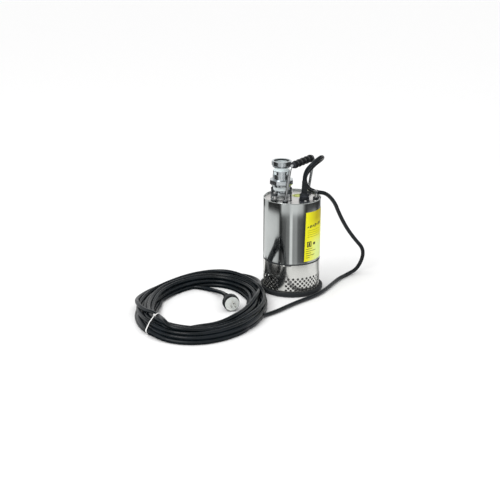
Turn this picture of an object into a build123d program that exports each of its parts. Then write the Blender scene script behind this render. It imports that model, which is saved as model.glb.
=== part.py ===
"""Submersible sump pump with a stainless casing, a coiled power cable and a plug.

Units are millimetres.  The origin is where the pump's axis meets the floor.
+Z is up, +X is the side of the label, and -Y is the front.
"""

import os
from math import cos, pi, radians, sin, tan

from build123d import *

# ---------------------------------------------------------------- driving sizes
CASING_R = 92.0  # outside radius of the stainless casing
WALL = 1.5  # sheet thickness of the casing and the strainer
BORE_R = CASING_R - WALL
RIM_Z = 310.0  # top edge of the casing
SEAM_Z = 109.5  # bottom edge of the casing, on top of the joint gasket
GASKET = 4.0  # thickness of the joint gasket
DECK_Z = SEAM_Z - GASKET  # top of the oil housing's flange

BASE_R = 103.0  # rubber base ring
BASE_H = 15.0
BASE_BORE_R = 62.0
LEDGE_Z = 11.0  # the base plate rests here
PLATE = 2.5

LID_Z = 300.0  # underside of the lid's plate
LID = 4.0
LID_TOP = LID_Z + LID

SHAFT_R = 8.5
RACE_R = 11.5  # outside of a bearing's inner race
RACE_IN = 16.5  # inside of its outer race
BEARING_R = 20.0
BEARING_H = 12.0
LOWER_BEARING_Z = 118.0
UPPER_BEARING_Z = 251.0
BEARINGS = (LOWER_BEARING_Z, UPPER_BEARING_Z)
BALL_R = 3.3
BALLS = 8
BALL_PITCH_R = (RACE_R + RACE_IN) / 2

MOTOR_R = 70.0
MOTOR_WALL = 3.0
MOTOR_BOTTOM = 130.0
MOTOR_TOP = 262.0
STACK_BOTTOM, STACK_TOP = 158.0, 228.0  # laminations of stator and rotor
AIR_GAP = 0.5
ROTOR_R = 35.5

TIE_R = 78.0  # circle of the three long tie rods
TIE_START = -15.0
ROD_R = 5.0
NUT_FLATS = 17.0
NUT_H = 8.0

PORT_X, PORT_Y = -35.0, -4.0  # axis of the discharge
PORT_R = 19.5
FLANGE_HALF = 34.0
FLANGE_TOP = 326.0
FLANGE_BOLT = 26.5  # half the spacing of the flange studs
NECK_TOP = 333.0
ADAPTER_TOP = 428.0
LIP_R = 31.5

GLAND_X, GLAND_Y = 38.0, -47.0
GLAND_TURN = 100.0  # direction of the gland's two screws, in degrees from +X
BOOT_BOTTOM, BOOT_TOP = 334.0, 374.0
CABLE_R = 6.5

HANDLE_R = 4.5
HANDLE_TOP = 427.0
FOOT_FRONT = (-21.5, -68.0)
FOOT_REAR = (52.5, 60.0)
HANDLE_LEAN = (15.4, -8.9)  # how far the top leans off the feet

COIL_X, COIL_Y = -275.0, -221.0  # the coil is an oval of cable lying on the floor
COIL_LONG, COIL_SHORT = 236.0, 169.0  # half axes of the middle of its turns
COIL_WIDE, COIL_HIGH = 64.0, 40.0
COIL_TILT = 8.5  # degrees that the long axis leans from +Y to +X

PLUG_FACE = (-181.0, -226.0, 25.5)
PLUG_TURN = 18.4  # degrees that the plug points from -Y to +X

# ------------------------------------------------------------ the cable's route
# From the boot over a tight standing loop, down the right side to the floor,
# round the base and into the outside of the coil.
CABLE_ROUTE = [
    (GLAND_X, GLAND_Y, BOOT_TOP),
    (GLAND_X, GLAND_Y, 401),
    (63, -60, 433),
    (90, -28, 448),
    (96, 13, 432),
    (69, 37, 405),
    (36, 38, 366),
    (48, 26, 328),
    (81, 6, 322),
    (110, 17, 316),
    (138, 46, 278),
    (153, 73, 235),
    (179, 99, 179),
    (210, 127, 129),
    (251, 166, 73),
    (229, 152, 13),
    (188, 105, CABLE_R),
    (156, 60, CABLE_R),
    (128, -5, CABLE_R),
    (89, -85, CABLE_R),
    (15, -159, CABLE_R),
    (-45, -237, CABLE_R),
    (-88, -274, CABLE_R),
]
# From the inside of the coil up to the plug's collar.
TAIL_ROUTE = [
    (-325, -30, CABLE_R),
    (-283, -44, CABLE_R),
    (-246, -70, 9),
    (-222, -110, 18),
    (-211, -137, 24.5),
    (-205, -153.9, 25.5),
]


# -------------------------------------------------------------------- helpers
def turn(*outline, about=(0, 0), mode=Mode.ADD):
    """Revolve a closed half section of (radius, height) points about a vertical axis."""
    x, y = about
    with BuildSketch(Plane((x, y, 0), x_dir=(1, 0, 0), z_dir=(0, -1, 0))) as section:
        with BuildLine():
            Polyline(*outline, close=True)
        make_face()
    revolve(section.sketch, axis=Axis((x, y, 0), (0, 0, 1)), mode=mode)


def ring(outer, inner, bottom, top, about=(0, 0), mode=Mode.ADD):
    """A plain turned ring."""
    turn((inner, bottom), (outer, bottom), (outer, top), (inner, top), about=about, mode=mode)


def hex_nuts(places, bottom, flats, height, hole_r):
    """Hexagon nuts with chamfered corners, axes vertical."""
    with BuildSketch(Plane.XY.offset(bottom)) as hexagons:
        with Locations(*places):
            RegularPolygon(flats / 2, 6, major_radius=False)
            Circle(hole_r, mode=Mode.SUBTRACT)
    extrude(hexagons.sketch, amount=height)
    crown = flats * 0.577
    for x, y in places:
        turn(
            (crown, bottom + height),
            (crown + 1, bottom + height),
            (crown + 1, bottom + height - 2.2),
            about=(x, y),
            mode=Mode.SUBTRACT,
        )


def around(radius, count, start=0.0):
    """Points spaced evenly on a circle about the pump's axis."""
    step = 2 * pi / count
    first = radians(start)
    return [(radius * cos(first + i * step), radius * sin(first + i * step)) for i in range(count)]


def bend_radii(route):
    """The radius of each arc: 0.45 of the shorter run over the tangent of half the turn."""
    points = [Vector(*p) for p in route]
    radii = []
    for before, here, after in zip(points, points[1:], points[2:]):
        half_turn = radians((here - before).get_angle(after - here)) / 2
        shorter = min((here - before).length, (after - here).length)
        radii.append(0.45 * shorter / tan(half_turn))
    return radii


def on_coil(angle):
    """A point of the coil's oval, and the direction of the turns there."""
    tilt = radians(COIL_TILT)
    along = Vector(sin(tilt), cos(tilt), 0)
    across = Vector(cos(tilt), -sin(tilt), 0)
    a = radians(angle)
    centre = Vector(COIL_X, COIL_Y, 0)
    point = centre + along * (COIL_LONG * cos(a)) + across * (COIL_SHORT * sin(a))
    heading = across * (COIL_SHORT * cos(a)) - along * (COIL_LONG * sin(a))
    return point, heading.normalized()


tie_places = around(TIE_R, 3, TIE_START)
port = (PORT_X, PORT_Y)
flange_places = [
    (PORT_X + i * FLANGE_BOLT, PORT_Y + j * FLANGE_BOLT) for i in (-1, 1) for j in (-1, 1)
]
gland = (GLAND_X, GLAND_Y)
gland_screw_places = [
    (GLAND_X + side * 20 * cos(radians(GLAND_TURN)), GLAND_Y + side * 20 * sin(radians(GLAND_TURN)))
    for side in (-1, 1)
]
pieces = {}

# ------------------------------------------------------------------- the base
with BuildPart() as base_ring:
    turn(
        (BASE_BORE_R, 0),
        (BASE_R - 3, 0),
        (BASE_R, 4),
        (BASE_R, BASE_H - 3),
        (BASE_R - 3, BASE_H),
        (CASING_R + 0.5, BASE_H),
        (CASING_R + 0.5, LEDGE_Z),
        (BASE_BORE_R, LEDGE_Z),
    )
    with Locations(*[(x, y, 0) for x, y in tie_places]):
        Cylinder(11, 3 * LEDGE_Z, mode=Mode.SUBTRACT)
pieces["base_ring"] = base_ring

with BuildPart() as base_plate:
    ring(CASING_R, 12, LEDGE_Z, LEDGE_Z + PLATE)
    ring(BORE_R, BORE_R - 2, LEDGE_Z + PLATE, LEDGE_Z + PLATE + 5)
    with Locations(*[(x, y, LEDGE_Z) for x, y in tie_places]):
        Cylinder(ROD_R + 0.2, 20, mode=Mode.SUBTRACT)
pieces["base_plate"] = base_plate

# The strainer: rows of staggered round holes, with a plain strip at its seam.
HOLE_R = 4.1
HOLE_ROWS = 6
HOLE_TOP_Z, ROW_STEP = 58.3, 7.68
HOLES_ROUND = 38
SEAM_FROM, SEAM_TO = -116.5, -102.5
with BuildPart() as strainer:
    ring(CASING_R, BORE_R, LEDGE_Z + PLATE, DECK_Z)
    for row in range(HOLE_ROWS):
        pitch = 360 / HOLES_ROUND
        first = -95.4 + (row % 2) * pitch / 2
        angles = [first + i * pitch for i in range(HOLES_ROUND)]
        spots = [
            Plane.XY.offset(HOLE_TOP_Z - row * ROW_STEP).location
            * Rot(0, 0, a)
            * Pos(CASING_R - WALL / 2, 0, 0)
            * Rot(0, 90, 0)
            for a in angles
            if not SEAM_FROM < (a + 180) % 360 - 180 < SEAM_TO
        ]
        with Locations(*spots):
            Cylinder(HOLE_R, 3 * WALL, mode=Mode.SUBTRACT)
    with Locations((-14, -CASING_R, DECK_Z)):
        Box(28, 8, 8, mode=Mode.SUBTRACT)
pieces["strainer"] = strainer

# ------------------------------------------------------------- the wet end
with BuildPart() as suction_cover:
    ring(72, 22, 52, 57)
    fillet(suction_cover.edges().filter_by(GeomType.CIRCLE).sort_by(Axis.Z)[0], 1.5)
    with Locations(*[(x, y, 52) for x, y in around(67, 4, 45)]):
        Cylinder(2.5, 20, mode=Mode.SUBTRACT)
pieces["suction_cover"] = suction_cover

with BuildPart() as suction_cover_screws:
    with Locations(*[(x, y, 48) for x, y in around(67, 4, 45)]):
        Cylinder(4.25, 4, align=(Align.CENTER, Align.CENTER, Align.MIN))
        Cylinder(2.5, 18, align=(Align.CENTER, Align.CENTER, Align.MIN))
pieces["suction_cover_screws"] = suction_cover_screws

with BuildPart() as volute:
    turn(
        (62, 57),
        (72, 57),
        (72, 82),
        (90, 90),
        (90, 99),
        (86, 99),
        (86, 93),
        (68, 85),
        (62, 80),
    )
    with Locations(*[(x, y, 57) for x, y in around(67, 4, 45)]):
        Cylinder(2.5, 18, mode=Mode.SUBTRACT)
    with Locations(*[(x, y, 90) for x, y in tie_places]):
        Cylinder(ROD_R + 0.2, 40, mode=Mode.SUBTRACT)
pieces["volute"] = volute

with BuildPart() as impeller:
    ring(14, 7, 60, 79)
    ring(57, 7, 74, 78)
    with BuildSketch(Plane.XY.offset(61)):
        with PolarLocations(35, 6):
            Rectangle(44, 3.5, rotation=38)
        Circle(12, mode=Mode.SUBTRACT)
        Circle(57, mode=Mode.INTERSECT)
    extrude(amount=13)
    with Locations((7.2, 0, 70)):
        Box(2.4, 3, 30, mode=Mode.SUBTRACT)
pieces["impeller"] = impeller

with BuildPart() as impeller_nut:
    hex_nuts([(0, 0)], 53, 16, 7, 5)
pieces["impeller_nut"] = impeller_nut

with BuildPart() as impeller_key:
    with Locations((7.2, 0, 69.5)):
        Box(2.4, 3, 19)
pieces["impeller_key"] = impeller_key

CHAMBER_R = 46.0
with BuildPart() as oil_housing:
    turn(
        (10, 80),
        (56, 80),
        (56, 99),
        (BORE_R - 0.1, 99),
        (BORE_R - 0.1, DECK_Z),
        (60, DECK_Z),
        (60, 124),
        (MOTOR_R, 124),
        (MOTOR_R, MOTOR_BOTTOM),
        (10, MOTOR_BOTTOM),
    )
    ring(17, 9, 84, 92, mode=Mode.SUBTRACT)
    ring(CHAMBER_R, 9, 92, 106, mode=Mode.SUBTRACT)
    ring(CHAMBER_R, 28, 105, LOWER_BEARING_Z, mode=Mode.SUBTRACT)
    ring(14, 9, 105, 114, mode=Mode.SUBTRACT)
    ring(12, 9, 113, LOWER_BEARING_Z, mode=Mode.SUBTRACT)
    ring(BEARING_R, 9, LOWER_BEARING_Z, MOTOR_BOTTOM + 1, mode=Mode.SUBTRACT)
    with Locations(*[(x, y, 103) for x, y in around(80, 12)]):
        Cylinder(6, 20, mode=Mode.SUBTRACT)
    with Locations(*[(x, y, 103) for x, y in tie_places]):
        Cylinder(ROD_R + 0.2, 20, mode=Mode.SUBTRACT)
    with Locations(Location((53, 0, 115), (0, 90, 0))):
        Cylinder(3.5, 18, mode=Mode.SUBTRACT)
pieces["oil_housing"] = oil_housing

with BuildPart() as oil_plug:
    with Locations(Location((60, 0, 115), (0, 90, 0))):
        Cylinder(6, 4.5, align=(Align.CENTER, Align.CENTER, Align.MIN))
    with Locations(Location((47, 0, 115), (0, 90, 0))):
        Cylinder(3.5, 13, align=(Align.CENTER, Align.CENTER, Align.MIN))
pieces["oil_plug"] = oil_plug

with BuildPart() as seal_seat:
    turn((SHAFT_R + 0.6, 84), (17, 84), (17, 90), (13, 90), (13, 92), (SHAFT_R + 0.6, 92))
pieces["seal_seat"] = seal_seat

with BuildPart() as seal_ring:
    turn((SHAFT_R, 92), (13, 92), (13, 95), (15.5, 95), (15.5, 103), (SHAFT_R, 103))
pieces["seal_ring"] = seal_ring

with BuildPart() as lip_seal:
    turn((SHAFT_R + 0.1, 107), (14, 107), (14, 114), (11, 114), (11, 110), (SHAFT_R + 0.1, 109))
pieces["lip_seal"] = lip_seal

# ----------------------------------------------------------------- the bearings
GROOVE_R = BALL_R + 0.04


def bearing_grooves():
    """The ball tracks cut in the races of both bearings."""
    for bottom in BEARINGS:
        track = Plane.XY.offset(bottom + BEARING_H / 2)
        with Locations(track.location):
            Torus(BALL_PITCH_R, GROOVE_R, mode=Mode.SUBTRACT)


with BuildPart() as bearing_outer_races:
    for bottom in BEARINGS:
        ring(BEARING_R, RACE_IN, bottom, bottom + BEARING_H)
    bearing_grooves()
pieces["bearing_outer_races"] = bearing_outer_races

with BuildPart() as bearing_inner_races:
    for bottom in BEARINGS:
        ring(RACE_R, SHAFT_R, bottom, bottom + BEARING_H)
    bearing_grooves()
pieces["bearing_inner_races"] = bearing_inner_races

ball_seats = [
    (x, y, bottom + BEARING_H / 2) for bottom in BEARINGS for x, y in around(BALL_PITCH_R, BALLS)
]
with BuildPart() as bearing_balls:
    with Locations(*ball_seats):
        Sphere(BALL_R)
pieces["bearing_balls"] = bearing_balls

# Crown cages: a ring above the balls, with open pockets that hold them.
with BuildPart() as bearing_cages:
    for bottom in BEARINGS:
        middle = bottom + BEARING_H / 2
        ring(BALL_PITCH_R + 1.6, BALL_PITCH_R - 1.6, middle + 0.6, middle + 4.8)
    with Locations(*ball_seats):
        Sphere(BALL_R + 0.05, mode=Mode.SUBTRACT)
pieces["bearing_cages"] = bearing_cages

# -------------------------------------------------------------------- the motor
with BuildPart() as shaft:
    turn(
        (0, 52),
        (5, 52),
        (5, 60),
        (7, 60),
        (7, 79),
        (SHAFT_R, 79),
        (SHAFT_R, MOTOR_BOTTOM),
        (11, MOTOR_BOTTOM),
        (11, 240),
        (SHAFT_R, 240),
        (SHAFT_R, UPPER_BEARING_Z + BEARING_H - 0.5),
        (0, UPPER_BEARING_Z + BEARING_H - 0.5),
    )
    with Locations((7.2, 0, 69.5)):
        Box(2.4, 3, 19, mode=Mode.SUBTRACT)
pieces["shaft"] = shaft

with BuildPart() as rotor_core:
    ring(ROTOR_R, 11, STACK_BOTTOM, STACK_TOP)
    ring(33, 22, STACK_BOTTOM - 8, STACK_TOP + 8)
    ring(33.5, 11, STACK_BOTTOM, STACK_TOP)
pieces["rotor_core"] = rotor_core

STATOR_IN = ROTOR_R + AIR_GAP
with BuildPart() as stator_core:
    ring(MOTOR_R - MOTOR_WALL, STATOR_IN, STACK_BOTTOM, STACK_TOP)
    with BuildSketch(Plane.XY.offset(STACK_BOTTOM)):
        with PolarLocations(STATOR_IN + 9, 24):
            SlotOverall(15, 3.6)
    extrude(amount=STACK_TOP - STACK_BOTTOM, mode=Mode.SUBTRACT)
pieces["stator_core"] = stator_core

with BuildPart() as stator_windings:
    ring(62, 39, STACK_BOTTOM - 16, STACK_BOTTOM)
    ring(62, 39, STACK_TOP, STACK_TOP + 16)
    fillet(stator_windings.edges().group_by(Axis.Z)[0], 6)
    fillet(stator_windings.edges().group_by(Axis.Z)[-1], 6)
pieces["stator_windings"] = stator_windings

with BuildPart() as motor_housing:
    ring(MOTOR_R, MOTOR_R - MOTOR_WALL, MOTOR_BOTTOM, MOTOR_TOP)
pieces["motor_housing"] = motor_housing

COVER_TOP = 290.0
WEB_TOP = 267.0
with BuildPart() as motor_cover:
    seat_top = UPPER_BEARING_Z + BEARING_H
    turn(
        (0, seat_top),
        (BEARING_R, seat_top),
        (BEARING_R, UPPER_BEARING_Z - 1),
        (26, UPPER_BEARING_Z - 1),
        (26, MOTOR_TOP),
        (MOTOR_R, MOTOR_TOP),
        (MOTOR_R, COVER_TOP),
        (MOTOR_R - 4, COVER_TOP),
        (MOTOR_R - 4, WEB_TOP),
        (0, WEB_TOP),
    )
pieces["motor_cover"] = motor_cover

with BuildPart() as motor_cap:
    with BuildSketch(Plane.XY.offset(COVER_TOP)):
        Circle(MOTOR_R)
        with Locations(gland):
            Circle(CABLE_R + 0.5, mode=Mode.SUBTRACT)
    extrude(amount=3)
    chamfer(motor_cap.edges().group_by(Axis.Z)[-1].sort_by(SortBy.RADIUS)[-1], 1)
pieces["motor_cap"] = motor_cap

with BuildPart() as capacitor:
    with Locations(Location((-18, 22, WEB_TOP + 10.5), (0, 90, 20))):
        Cylinder(10.5, 58)
pieces["capacitor"] = capacitor

with BuildPart() as thermal_protector:
    with Locations((-10, -30, WEB_TOP + 4)):
        Box(20, 12, 8)
    fillet(thermal_protector.edges().filter_by(Axis.Z), 2)
pieces["thermal_protector"] = thermal_protector

with BuildPart() as cable_conduit:
    ring(11, CABLE_R + 0.5, COVER_TOP + 3, LID_Z, about=gland)
pieces["cable_conduit"] = cable_conduit

# -------------------------------------------------------- casing, gasket and lid
with BuildPart() as joint_gasket:
    ring(CASING_R + 0.5, 85, DECK_Z, SEAM_Z)
pieces["joint_gasket"] = joint_gasket

with BuildPart() as outer_casing:
    ring(CASING_R, BORE_R, SEAM_Z, RIM_Z - 1.5)
    with Locations((0, 0, RIM_Z - 1.6)):
        Torus(CASING_R - 0.9, 1.6)
pieces["outer_casing"] = outer_casing

LID_R = BORE_R - 0.9
with BuildPart() as lid:
    turn(
        (0, LID_Z),
        (83, LID_Z),
        (83, LID_Z - 8),
        (LID_R, LID_Z - 8),
        (LID_R, LID_Z - 5.5),
        (LID_R - 2, LID_Z - 5.5),
        (LID_R - 2, LID_Z - 2.5),
        (LID_R, LID_Z - 2.5),
        (LID_R, LID_TOP - 1),
        (LID_R - 1, LID_TOP),
        (0, LID_TOP),
    )
    with Locations((PORT_X, PORT_Y, LID_Z)):
        Cylinder(PORT_R, 20, mode=Mode.SUBTRACT)
    with Locations((GLAND_X, GLAND_Y, LID_Z)):
        Cylinder(CABLE_R + 0.5, 20, mode=Mode.SUBTRACT)
    with Locations(*[(x, y, LID_Z) for x, y in tie_places]):
        Cylinder(ROD_R + 0.2, 20, mode=Mode.SUBTRACT)
    with Locations(*[(x, y, LID_Z) for x, y in (FOOT_FRONT, FOOT_REAR)]):
        Cylinder(HANDLE_R + 0.1, 20, mode=Mode.SUBTRACT)
    with Locations(*[(x, y, LID_Z) for x, y in gland_screw_places]):
        Cylinder(2.5, 20, mode=Mode.SUBTRACT)
    with Locations(*[(x, y, LID_Z) for x, y in flange_places]):
        Cylinder(4, 20, mode=Mode.SUBTRACT)
pieces["lid"] = lid

with BuildPart() as lid_o_ring:
    ring(BORE_R, LID_R - 2, LID_Z - 5.4, LID_Z - 2.6)
pieces["lid_o_ring"] = lid_o_ring

# -------------------------------------------------------------------- tie rods
STUD_TOP = 338.0
UPPER_NUT_Z = 328.0
with BuildPart() as tie_rods:
    with Locations(*[(x, y, 2) for x, y in tie_places]):
        Cylinder(ROD_R, STUD_TOP - 2, align=(Align.CENTER, Align.CENTER, Align.MIN))
    chamfer(tie_rods.edges().group_by(Axis.Z)[-1], 1)
pieces["tie_rods"] = tie_rods

with BuildPart() as tie_rod_washers:
    for x, y in tie_places:
        ring(11, ROD_R, LID_TOP, LID_TOP + 2, about=(x, y))
pieces["tie_rod_washers"] = tie_rod_washers

with BuildPart() as tie_rod_nuts:
    for bottom in (2.5, LID_TOP + 2, UPPER_NUT_Z - 2):
        hex_nuts(tie_places, bottom, NUT_FLATS, NUT_H, ROD_R)
pieces["tie_rod_nuts"] = tie_rod_nuts

# ------------------------------------------------------------------- discharge
with BuildPart() as flange_gasket:
    with BuildSketch(Plane.XY.offset(LID_TOP)):
        with Locations(port):
            RectangleRounded(2 * FLANGE_HALF, 2 * FLANGE_HALF, 10)
            Circle(PORT_R, mode=Mode.SUBTRACT)
        with Locations(*flange_places):
            Circle(4, mode=Mode.SUBTRACT)
    extrude(amount=2)
pieces["flange_gasket"] = flange_gasket

with BuildPart() as discharge_flange:
    with BuildSketch(Plane.XY.offset(LID_TOP + 2)):
        with Locations(port):
            RectangleRounded(2 * FLANGE_HALF, 2 * FLANGE_HALF, 10)
    extrude(amount=FLANGE_TOP - LID_TOP - 2)
    chamfer(discharge_flange.edges().group_by(Axis.Z)[-1], 1.2)
    turn(
        (0, FLANGE_TOP - 1),
        (25, FLANGE_TOP - 1),
        (23.5, NECK_TOP - 1.5),
        (22, NECK_TOP),
        (0, NECK_TOP),
        about=port,
    )
    with Locations((PORT_X, PORT_Y, FLANGE_TOP)):
        Cylinder(PORT_R, 60, mode=Mode.SUBTRACT)
    with Locations(*[(x, y, FLANGE_TOP) for x, y in flange_places]):
        Cylinder(4, 60, mode=Mode.SUBTRACT)
pieces["discharge_flange"] = discharge_flange

with BuildPart() as flange_studs:
    with Locations(*[(x, y, LID_Z - 3) for x, y in flange_places]):
        Cylinder(4, FLANGE_TOP + 13 - (LID_Z - 3), align=(Align.CENTER, Align.CENTER, Align.MIN))
    chamfer(flange_studs.edges().group_by(Axis.Z)[-1], 0.8)
pieces["flange_studs"] = flange_studs

with BuildPart() as flange_nuts:
    hex_nuts(flange_places, FLANGE_TOP, 13, 7, 4)
pieces["flange_nuts"] = flange_nuts

COLLAR_BOTTOM, COLLAR_TOP = 352.0, 367.0
with BuildPart() as hose_adapter:
    with BuildSketch(Plane.XY.offset(COLLAR_BOTTOM)):
        with Locations(port):
            RegularPolygon(39.5, 8, rotation=22.5)
    extrude(amount=COLLAR_TOP - COLLAR_BOTTOM)
    chamfer(hose_adapter.edges().group_by(Axis.Z)[0], 3)
    chamfer(hose_adapter.edges().group_by(Axis.Z)[-1], 1.2)
    turn(
        (0, NECK_TOP),
        (26, NECK_TOP),
        (26, 344),
        (31, 346),
        (34, COLLAR_BOTTOM),
        (34, COLLAR_TOP),
        (28, COLLAR_TOP + 1),
        (28, 383),
        (27, 384),
        (27, 396),
        (22, 398.5),
        (21.5, 402),
        (24, 405.5),
        (28.5, 408),
        (29, 413),
        (LIP_R, 414.5),
        (LIP_R, ADAPTER_TOP - 1.5),
        (LIP_R - 1.5, ADAPTER_TOP),
        (0, ADAPTER_TOP),
        about=port,
    )
    ring(PORT_R, 0, NECK_TOP - 1, ADAPTER_TOP + 1, about=port, mode=Mode.SUBTRACT)
    ring(25.5, 0, ADAPTER_TOP - 5, ADAPTER_TOP + 1, about=port, mode=Mode.SUBTRACT)
    for angle in (-140, -40, 40, 140):
        dx, dy = 27 * cos(radians(angle)), 27 * sin(radians(angle))
        with Locations(Location((PORT_X + dx, PORT_Y + dy, 390), (0, 0, angle))):
            Box(7, 13, 9, mode=Mode.SUBTRACT)
pieces["hose_adapter"] = hose_adapter

with BuildPart() as adapter_gasket:
    ring(25.5, 20, ADAPTER_TOP - 5, ADAPTER_TOP - 1, about=port)
pieces["adapter_gasket"] = adapter_gasket

# ---------------------------------------------------------------------- handle
top_front = (FOOT_FRONT[0] + HANDLE_LEAN[0], FOOT_FRONT[1] + HANDLE_LEAN[1], HANDLE_TOP)
top_rear = (FOOT_REAR[0] + HANDLE_LEAN[0], FOOT_REAR[1] + HANDLE_LEAN[1], HANDLE_TOP)
with BuildPart() as handle_rod:
    with BuildLine() as bail:
        FilletPolyline(
            (*FOOT_FRONT, LID_Z),
            (*FOOT_FRONT, LID_TOP + 12),
            top_front,
            top_rear,
            (*FOOT_REAR, LID_TOP + 12),
            (*FOOT_REAR, LID_Z),
            radius=[25, 14, 14, 25],
        )
    with BuildSketch(Plane(bail.line @ 0, z_dir=bail.line % 0)):
        Circle(HANDLE_R)
    sweep(path=bail.line)
pieces["handle_rod"] = handle_rod

GRIP_FROM, GRIP_TO = 14.5, 133.5  # along the handle's top from its front corner
RIDGES = 5
RIDGE_R = 12.3
GROOVE_R = 9.3
grip_plane = Plane(top_front, z_dir=Vector(*top_rear) - Vector(*top_front))
with BuildPart(grip_plane) as handle_grip:
    ridge_step = (GRIP_TO - GRIP_FROM) / RIDGES
    with Locations((0, 0, GRIP_FROM)):
        Cylinder(GROOVE_R, GRIP_TO - GRIP_FROM, align=(Align.CENTER, Align.CENTER, Align.MIN))
    for i in range(RIDGES):
        with Locations((0, 0, GRIP_FROM + (i + 0.5) * ridge_step)):
            Cylinder(RIDGE_R, 0.62 * ridge_step)
    rims = handle_grip.edges().filter_by(GeomType.CIRCLE)
    fillet(rims.filter_by(lambda e: abs(e.radius - RIDGE_R) < 0.01), 2.6)
    with Locations((0, 0, 74)):
        Cylinder(HANDLE_R, 200, mode=Mode.SUBTRACT)
pieces["handle_grip"] = handle_grip

with BuildPart() as handle_nuts:
    hex_nuts([FOOT_FRONT, FOOT_REAR], LID_TOP, 15, 8, HANDLE_R)
pieces["handle_nuts"] = handle_nuts

# ----------------------------------------------------------------- cable gland
with BuildPart() as gland_body:
    with BuildSketch(Plane.XY.offset(LID_TOP)):
        with Locations(gland):
            SlotOverall(56, 30, rotation=GLAND_TURN)
        with Locations(*gland_screw_places):
            Circle(2.5, mode=Mode.SUBTRACT)
    extrude(amount=7)
    ring(15, 0, LID_TOP + 7, 322, about=gland)
    fillet(gland_body.faces().sort_by(Axis.Z)[-1].edges(), 1.5)
    with Locations((GLAND_X, GLAND_Y, 320)):
        Cylinder(11, 30, mode=Mode.SUBTRACT)
pieces["gland_body"] = gland_body

with BuildPart() as gland_grommet:
    ring(11, CABLE_R, 305, 321, about=gland)
pieces["gland_grommet"] = gland_grommet

with BuildPart() as gland_nut:
    with BuildSketch(Plane.XY.offset(322)):
        with Locations(gland):
            RegularPolygon(13, 6, major_radius=False)
    extrude(amount=9)
    turn((0, 331), (13, 331), (10.5, BOOT_BOTTOM), (0, BOOT_BOTTOM), about=gland)
    chamfer(gland_nut.edges().group_by(Axis.Z)[0], 1)
pieces["gland_nut"] = gland_nut

with BuildPart() as gland_screws:
    with Locations(*[(x, y, LID_Z - 4) for x, y in gland_screw_places]):
        Cylinder(2.5, 15, align=(Align.CENTER, Align.CENTER, Align.MIN))
    with Locations(*[(x, y, LID_TOP + 7) for x, y in gland_screw_places]):
        Cylinder(4.5, 5, align=(Align.CENTER, Align.CENTER, Align.MIN))
    chamfer(gland_screws.edges().group_by(Axis.Z)[-1], 0.6)
    with BuildSketch(Plane.XY.offset(LID_TOP + 12)):
        with Locations(*gland_screw_places):
            RegularPolygon(2.3, 6)
    extrude(amount=-2.5, mode=Mode.SUBTRACT)
pieces["gland_screws"] = gland_screws

BOOT_RIBS = 5
with BuildPart() as cable_boot:
    turn((0, BOOT_BOTTOM), (9.6, BOOT_BOTTOM), (7.6, BOOT_TOP), (0, BOOT_TOP), about=gland)
    for i in range(BOOT_RIBS):
        low = BOOT_BOTTOM + 5 + i * 6.6
        neck = 9.6 - 2 * (low - BOOT_BOTTOM) / (BOOT_TOP - BOOT_BOTTOM)
        ring(neck + 1, neck - 0.9, low, low + 1.8, about=gland, mode=Mode.SUBTRACT)
pieces["cable_boot"] = cable_boot

# ------------------------------------------------------------ label and sticker
LABEL_FROM, LABEL_TO = -64.0, 10.0
label_plane = Plane(
    (0, 0, 0),
    x_dir=(cos(radians(LABEL_FROM)), sin(radians(LABEL_FROM)), 0),
    z_dir=(sin(radians(LABEL_FROM)), -cos(radians(LABEL_FROM)), 0),
)
with BuildPart() as label:
    with BuildSketch(label_plane):
        with BuildLine():
            Polyline(
                (CASING_R, 116),
                (CASING_R + 0.4, 116),
                (CASING_R + 0.4, 278),
                (CASING_R, 278),
                close=True,
            )
        make_face()
    revolve(axis=Axis.Z, revolution_arc=LABEL_TO - LABEL_FROM)
pieces["label"] = label

with BuildPart() as rotation_sticker:
    with Locations((18, 28, LID_TOP)):
        Cylinder(18, 0.4, align=(Align.CENTER, Align.CENTER, Align.MIN))
pieces["rotation_sticker"] = rotation_sticker

# ------------------------------------------------------------- cable and coil
for name, route in (("power_cable", CABLE_ROUTE), ("cable_tail", TAIL_ROUTE)):
    radii = bend_radii(route)
    with BuildPart() as cable:
        with BuildLine() as path:
            FilletPolyline(*route, radius=radii)
        with BuildSketch(Plane(path.line @ 0, z_dir=path.line % 0)):
            Circle(CABLE_R)
        sweep(path=path.line)
    length = sum(edge.length for edge in path.edges())
    print(name, "radii", [round(r) for r in radii], "length", round(length))
    print(name, "volume over section times length", cable.part.volume / (pi * CABLE_R**2 * length))
    pieces[name] = cable

with BuildPart() as cable_coil:
    with BuildSketch():
        with Locations((COIL_X, COIL_Y)):
            for sign, mode in ((1, Mode.ADD), (-1, Mode.SUBTRACT)):
                Ellipse(
                    COIL_SHORT + sign * COIL_WIDE / 2,
                    COIL_LONG + sign * COIL_WIDE / 2,
                    rotation=-COIL_TILT,
                    mode=mode,
                )
    extrude(amount=COIL_HIGH)
    chamfer(cable_coil.edges().group_by(Axis.Z)[-1], 11)
pieces["cable_coil"] = cable_coil

TIE_ANGLE = 220.0  # where the tie goes round the coil, from the far end of its long axis
tie_point, tie_heading = on_coil(TIE_ANGLE)
tie_side = Vector(0, 0, 1).cross(tie_heading)
with BuildPart() as coil_tie:
    with BuildSketch(Plane((tie_point.X, tie_point.Y, 20.7), x_dir=tie_side, z_dir=tie_heading)):
        RectangleRounded(COIL_WIDE + 4, COIL_HIGH + 1, 14)
        RectangleRounded(COIL_WIDE + 1.4, COIL_HIGH - 1.6, 12.7, mode=Mode.SUBTRACT)
    extrude(amount=2, both=True)
pieces["coil_tie"] = coil_tie

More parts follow.
